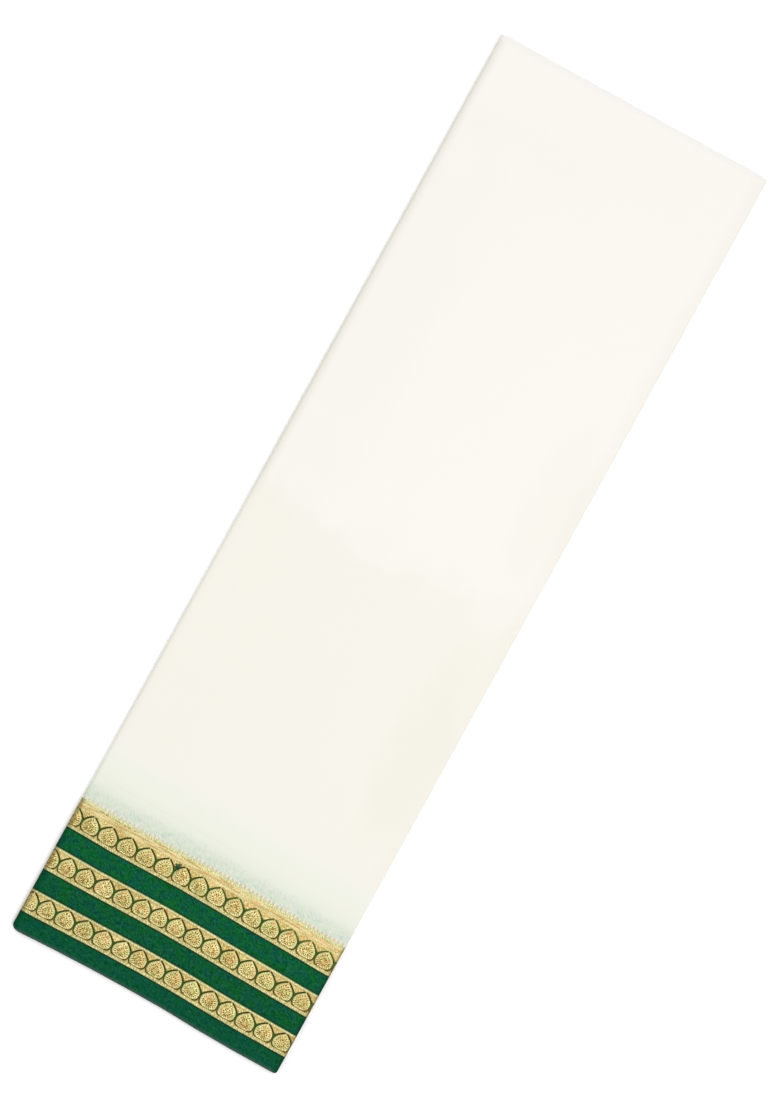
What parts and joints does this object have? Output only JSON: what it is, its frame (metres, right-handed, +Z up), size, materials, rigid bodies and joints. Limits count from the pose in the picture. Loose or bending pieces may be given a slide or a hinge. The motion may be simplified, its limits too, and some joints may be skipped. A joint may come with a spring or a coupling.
{
  "type": "folded silk saree",
  "caption": "Cream silk saree folded into a long flat stack, with a deep green border and gold zari medallion bands at its hem end.",
  "frame": {"origin": "middle of the stack's footprint, on the surface that it lies on", "axes": "+Z up, +Y along the stack from the bordered hem to the plain selvedge, +X across it towards the side with the tucked fold"},
  "size_m": [0.342, 1.15, 0.0099],
  "materials": {
    "cream_silk": "cream silk with a soft sheen",
    "green_silk": "deep green silk, faint tone-on-tone scroll",
    "gold_zari": "woven metallic gold thread, medallions outlined in green"
  },
  "bodies": {
    "root": {"body_stretch": "cream_silk", "zari_band_upper": "gold_zari", "green_band_upper": "green_silk", "zari_band_middle": "gold_zari", "green_band_middle": "green_silk", "zari_band_lower": "gold_zari", "green_hem_band": "green_silk", "hidden_layers": "cream_silk"}
  },
  "joints": []
}
